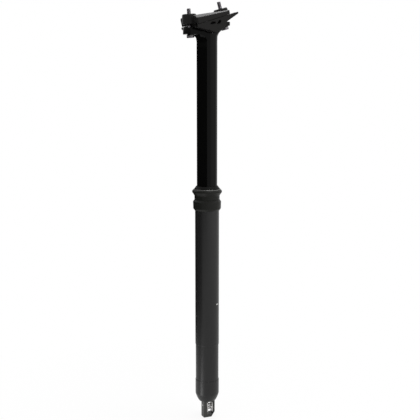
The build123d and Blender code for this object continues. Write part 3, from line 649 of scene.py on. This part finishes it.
class SEATPOST_OT_stanchion(bpy.types.Operator):
    """Soften the stanchion's forged head and turn its ground tube anew, round and smooth"""
    bl_idname = "seatpost.stanchion"
    bl_label = "Stanchion"

    def execute(self, context):
        detail = context.scene.post_detail
        source = frame["nodes"]["stanchion"]
        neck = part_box("stanchion")[1][2] - detail.head_height
        shares = {
            "stanchion_foot": cut_level(source.data, detail.foot_height, keep_top=False),
            "stanchion_tube": self.ground_tube(source.data, detail.foot_height, neck),
            "stanchion_head": self.forged_head(source.data, detail, neck),
        }
        for name, mesh_data in shares.items():
            piece = new_piece(name, source["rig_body"], "stanchion_black", mesh_data, "stanchion")
            piece.data.set_sharp_from_angle(angle=SHARP_ANGLE)
        return {"FINISHED"}

    def ground_tube(self, mesh_data, foot, neck):
        """The tube from its foot to its neck, with the step at the top of its bore."""
        solid_neck = 10 * MM
        points = [(v.co.xy.length, v.co.z) for v in mesh_data.vertices]
        outer = max(r for r, z in points if z < neck)
        step = max(z for r, z in points if z < neck - solid_neck and r < outer - MM)
        radii = [r for r, z in points if abs(z - step) < 0.01 * MM]
        bore, passage = max(radii), min(radii)
        return hoop("stanchion_tube", [
            (outer, foot), (outer, neck), (passage, neck), (passage, step), (bore, step), (bore, foot)])

    def forged_head(self, mesh_data, detail, neck):
        """The head with soft edges, which meets the ground tube at its neck."""
        overlap, blend = 3 * MM, 5 * MM
        block = cut_level(mesh_data, neck - overlap, keep_top=True)
        outer = max(v.co.xy.length for v in mesh_data.vertices if v.co.z < neck)
        soft = smoothed_copy(block, detail.casting_voxel, detail.casting_rounds, kept_share=0.6)
        head = cut_level(soft, neck, keep_top=True)
        for vertex in head.vertices:
            radius = vertex.co.xy.length
            if vertex.co.z < neck + blend and radius > outer - MM:
                share = 1 - (vertex.co.z - neck) / blend
                scale = 1 + share * (outer / radius - 1)
                vertex.co.x *= scale
                vertex.co.y *= scale
        return head


class SEATPOST_OT_collar(bpy.types.Operator):
    """Round the edges of the collar's rings and of the rubber wiper"""
    bl_idname = "seatpost.collar"
    bl_label = "Collar"

    def execute(self, context):
        for node, made, slot, rounds in (
            ("collar_nut", "turned", "collar_black", 2), ("collar_base", "turned", "collar_black", 2),
            ("wiper_seal", "moulded", "seal_rubber", 4),
        ):
            softened(node, f"{node}_{made}", slot, voxel=0.3 * MM, rounds=rounds, kept_share=0.5)
        # Painted highlight: a lighter metal band on the nut's top edge
        self.make_rim_highlight_band(context.scene.post_detail)
        return {"FINISHED"}

    def make_rim_highlight_band(self, detail):
        """A lighter bare-metal band round the top of the anodised nut: a painted highlight, whose
        reflections stand in for the edge's highlight.
        """
        nut = frame["nodes"]["collar_nut"]
        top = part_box("collar_nut")[1][2]
        radius = max(v.co.xy.length for v in nut.data.vertices if v.co.z > top - 0.01 * MM)
        half, sides = detail.rim_highlight_width / 2, 12
        inset = half * 0.6
        rows = []
        for step in range(sides):
            angle = step * math.tau / sides
            rows.append((radius - inset + half * math.cos(angle), top - inset + half * math.sin(angle)))
        mesh_data = hoop("collar_nut_edge", rows)
        edge = new_piece("collar_nut_edge", nut["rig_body"], "bare_aluminium", mesh_data)
        # Light metal finish of the band, a painted highlight on the nut's edge
        edge.material_slots[0].material = finish(
            "painted_rim_highlight", bpy.context.scene.post_finish.rim_highlight_metal, roughness=0.55, metallic=1.0)


class SEATPOST_OT_depth_mark(bpy.types.Operator):
    """Print the plain tick on the lower tube's side"""
    bl_idname = "seatpost.depth_mark"
    bl_label = "Depth Mark"

    def execute(self, context):
        detail = context.scene.post_detail
        tube = frame["nodes"]["lower_tube"]
        ink, half_height = 0.03 * MM, 0.5 * MM
        patch = tube_patch("depth_mark", TUBE_RADIUS, ink, detail.mark_heading,
                           detail.mark_width / 2 / TUBE_RADIUS, detail.mark_height - half_height,
                           detail.mark_height + half_height)
        mark = new_piece("depth_mark", tube["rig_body"], None, patch)
        mark.data.materials.clear()
        look = context.scene.post_finish
        mark.data.materials.append(finish("print", look.print_white, roughness=0.5, grain_size=4000.0,
                                          grain_height=0.01, shade_drift=0.12))
        for face in mark.data.polygons:
            face.use_smooth = False
        return {"FINISHED"}


class SEATPOST_OT_cable_end(bpy.types.Operator):
    """Soften the edges of the cable bracket and the release lever"""
    bl_idname = "seatpost.cable_end"
    bl_label = "Cable End"

    def execute(self, context):
        softened("actuator_bracket", "actuator_bracket_cast", "bracket_black", voxel=0.16 * MM, rounds=6)
        softened("actuator_lever", "actuator_lever_cast", "plain_steel", voxel=0.1 * MM, rounds=5)
        return {"FINISHED"}


class SEATPOST_OT_studio(bpy.types.Operator):
    """Camera, pale floor, white background and soft light"""
    bl_idname = "seatpost.studio"
    bl_label = "Studio"

    def execute(self, context):
        settings = context.scene.post_studio
        context.scene.view_settings.view_transform = "Standard"
        self.make_camera(settings)
        self.make_world(settings)
        self.make_floor()
        self.make_flag(settings)
        self.make_lights(settings)
        return {"FINISHED"}

    def camera_sides(self, settings):
        """Level directions to the camera's right and toward the camera."""
        right = Vector((math.cos(settings.camera_yaw), math.sin(settings.camera_yaw), 0))
        toward = Vector((*Vector(settings.camera_place).xy.normalized(), 0))
        return right, toward

    def make_camera(self, settings):
        """The photograph's camera."""
        data = bpy.data.cameras.new("photo_camera")
        data.lens = settings.camera_lens
        data.sensor_width = 36.0
        camera = bpy.data.objects.new("photo_camera", data)
        bpy.context.scene.collection.objects.link(camera)
        camera.location = settings.camera_place
        camera.rotation_euler = (math.pi / 2 - settings.camera_pitch, 0, settings.camera_yaw)
        bpy.context.scene.camera = camera

    def seen_directly(self, tree):
        """1 for rays that show the background: from the camera, a reflection or glass."""
        path = add(tree, "ShaderNodeLightPath").outputs
        seen = maths(tree, "ADD", path["Is Camera Ray"], path["Is Glossy Ray"], clamp=True)
        return maths(tree, "ADD", seen, path["Is Transmission Ray"], clamp=True)

    def make_world(self, settings):
        """Even light from all round, and a white background."""
        world = bpy.data.worlds.new("studio_world")
        bpy.context.scene.world = world
        world.use_nodes = True
        tree = world.node_tree
        even = tree.nodes["Background"]
        even.inputs["Color"].default_value = (1, 1, 1, 1)
        even.inputs["Strength"].default_value = settings.ambient
        white = add(tree, "ShaderNodeBackground", inputs={"Color": (1, 1, 1, 1), "Strength": 1.0})
        both = add(tree, "ShaderNodeMixShader", inputs={0: self.seen_directly(tree)})
        link(tree, even.outputs[0], both.inputs[1])
        link(tree, white.outputs[0], both.inputs[2])
        link(tree, both.outputs[0], tree.nodes["World Output"].inputs["Surface"])

    def make_floor(self):
        """A pale floor that keeps the object's shadow and turns plain white farther out."""
        half, gap = 6.0, 0.2 * MM
        white_from, white_to, near_white = 0.28, 0.5, 0.9
        level = cad_box[0][2] - gap
        mesh_data = bpy.data.meshes.new("floor")
        corners = [(x, y, level) for x, y in ((-half, -half), (half, -half), (half, half), (-half, half))]
        mesh_data.from_pydata(corners, [], [(0, 1, 2, 3)])
        floor = bpy.data.objects.new("floor", mesh_data)
        bpy.context.scene.collection.objects.link(floor)
        material = bpy.data.materials.new("pale_floor")
        material.use_nodes = True
        tree = material.node_tree
        shader = tree.nodes["Principled BSDF"]
        shader.inputs["Base Color"].default_value = (0.86, 0.86, 0.86, 1)
        shader.inputs["Roughness"].default_value = 0.9
        glow = add(tree, "ShaderNodeEmission", inputs={"Color": (1, 1, 1, 1), "Strength": 1.0})
        place = add(tree, "ShaderNodeNewGeometry").outputs["Position"]
        reach = add(tree, "ShaderNodeVectorMath", props={"operation": "LENGTH"},
                    inputs={0: place}).outputs["Value"]
        fade = add(tree, "ShaderNodeMapRange", props={"interpolation_type": "SMOOTHSTEP"}, inputs={
            "Value": reach, "From Min": white_from, "From Max": white_to,
            "To Min": near_white, "To Max": 1.0}).outputs["Result"]
        share = maths(tree, "MULTIPLY", self.seen_directly(tree), fade)
        both = add(tree, "ShaderNodeMixShader", inputs={0: share})
        link(tree, shader.outputs[0], both.inputs[1])
        link(tree, glow.outputs[0], both.inputs[2])
        link(tree, both.outputs[0], tree.nodes["Material Output"].inputs["Surface"])
        mesh_data.materials.append(material)

    def make_flag(self, settings):
        """A black card round the image's left that darkens that side's reflections.

        It stands in an arc from start to end round the post. Past the angle turn it reaches down
        to the floor, which it also covers there from floor_reach outwards.
        """
        right, toward = self.camera_sides(settings)
        radius, floor_reach, steps = 0.75, 0.32, 48
        high, short_low, long_low, floor_level = 0.285, -0.105, -0.3, -0.281
        start, turn, end = (math.radians(angle) for angle in (-1, 46, 168))
        points, faces = [], []

        def add_strip(first_angle, edges):
            """A strip of faces along the arc; edges gives its two (reach, height) at an angle."""
            base = len(points)
            for step in range(steps + 1):
                angle = first_angle + (end - first_angle) * step / steps
                across = toward * math.cos(angle) - right * math.sin(angle)
                points.extend(tuple(across * reach + Vector((0, 0, z))) for reach, z in edges(angle))
            for first in range(base, base + 2 * steps, 2):
                faces.append((first, first + 1, first + 3, first + 2))

        add_strip(start, lambda angle: (
            (radius, short_low if angle < turn else long_low), (radius, high)))
        add_strip(turn, lambda angle: ((floor_reach, floor_level), (radius, floor_level)))
        mesh_data = bpy.data.meshes.new("black_flag")
        mesh_data.from_pydata(points, [], faces)
        flag = bpy.data.objects.new("black_flag", mesh_data)
        bpy.context.scene.collection.objects.link(flag)
        material = bpy.data.materials.new("flag_cloth")
        material.use_nodes = True
        shader = material.node_tree.nodes["Principled BSDF"]
        shader.inputs["Base Color"].default_value = (0.01, 0.01, 0.01, 1)
        shader.inputs["Roughness"].default_value = 1.0
        shader.inputs["Specular IOR Level"].default_value = 0.0
        mesh_data.materials.append(material)
        flag.visible_camera = False
        flag.visible_shadow = False
        flag.visible_diffuse = False

    def make_lights(self, settings):
        """A large softbox to the right, one overhead and a low strip to the left."""
        right, toward = self.camera_sides(settings)
        left = toward * 0.62 - right * 0.79
        floor = Vector((0, 0, cad_box[0][2] + 2 * MM))
        key_place = right * 1.05 + toward * 0.55 + Vector((0, 0, 0.5))
        strip_place = left * 0.15 + floor
        strip_aim = left * 0.151 + floor + Vector((0, 0, 1))
        lamps = (
            ("key_softbox", key_place, Vector((0, 0, -0.02)), (1.2, 1.6), settings.key_power),
            ("top_softbox", Vector((-0.14, -0.03, 0.93)), Vector((0, 0, 0.2)), (0.3, 0.2),
             settings.top_power),
            ("low_strip", strip_place, strip_aim, (0.03, 0.2), settings.strip_power),
        )
        for name, place, aim, size, power in lamps:
            data = bpy.data.lights.new(name, "AREA")
            data.shape = "RECTANGLE"
            data.size, data.size_y = size
            data.energy = power
            lamp = bpy.data.objects.new(name, data)
            lamp.location = place
            lamp.rotation_euler = (aim - place).to_track_quat("-Z", "Y").to_euler()
            lamp.visible_camera = False
            bpy.context.scene.collection.objects.link(lamp)


class SEATPOST_PT_panel(bpy.types.Panel):
    """Sidebar panel that lists the seatpost's operators and settings"""
    bl_label = "Dropper Seatpost"
    bl_space_type = "VIEW_3D"
    bl_region_type = "UI"
    bl_category = "Seatpost"

    def draw(self, context):
        column = self.layout.column()
        for operator in operators:
            column.operator(operator.bl_idname)
        for group in (context.scene.post_finish, context.scene.post_detail, context.scene.post_studio):
            for key in group.__annotations__:
                column.prop(group, key)


operators = (
    SEATPOST_OT_studio, SEATPOST_OT_finishes, SEATPOST_OT_clamp_bolts, SEATPOST_OT_rail_clamp,
    SEATPOST_OT_stanchion, SEATPOST_OT_collar, SEATPOST_OT_depth_mark, SEATPOST_OT_cable_end,
)
settings_groups = {"post_finish": PostFinish, "post_detail": PostDetail, "post_studio": StudioSettings}


def register():
    """Register the settings, operators and panel."""
    for group in settings_groups.values():
        bpy.utils.register_class(group)
    for key, group in settings_groups.items():
        setattr(bpy.types.Scene, key, PointerProperty(type=group))
    for operator in operators:
        bpy.utils.register_class(operator)
    bpy.utils.register_class(SEATPOST_PT_panel)


def unregister():
    """Take everything out again, last first."""
    bpy.utils.unregister_class(SEATPOST_PT_panel)
    for operator in reversed(operators):
        bpy.utils.unregister_class(operator)
    for key in settings_groups:
        delattr(bpy.types.Scene, key)
    for group in reversed(settings_groups.values()):
        bpy.utils.unregister_class(group)


def main():
    """Register and make every piece in order."""
    register()
    bpy.ops.seatpost.studio()
    bpy.ops.seatpost.finishes()
    bpy.ops.seatpost.clamp_bolts()
    bpy.ops.seatpost.rail_clamp()
    bpy.ops.seatpost.stanchion()
    bpy.ops.seatpost.collar()
    bpy.ops.seatpost.depth_mark()
    bpy.ops.seatpost.cable_end()


if __name__ == "__main__":
    main()
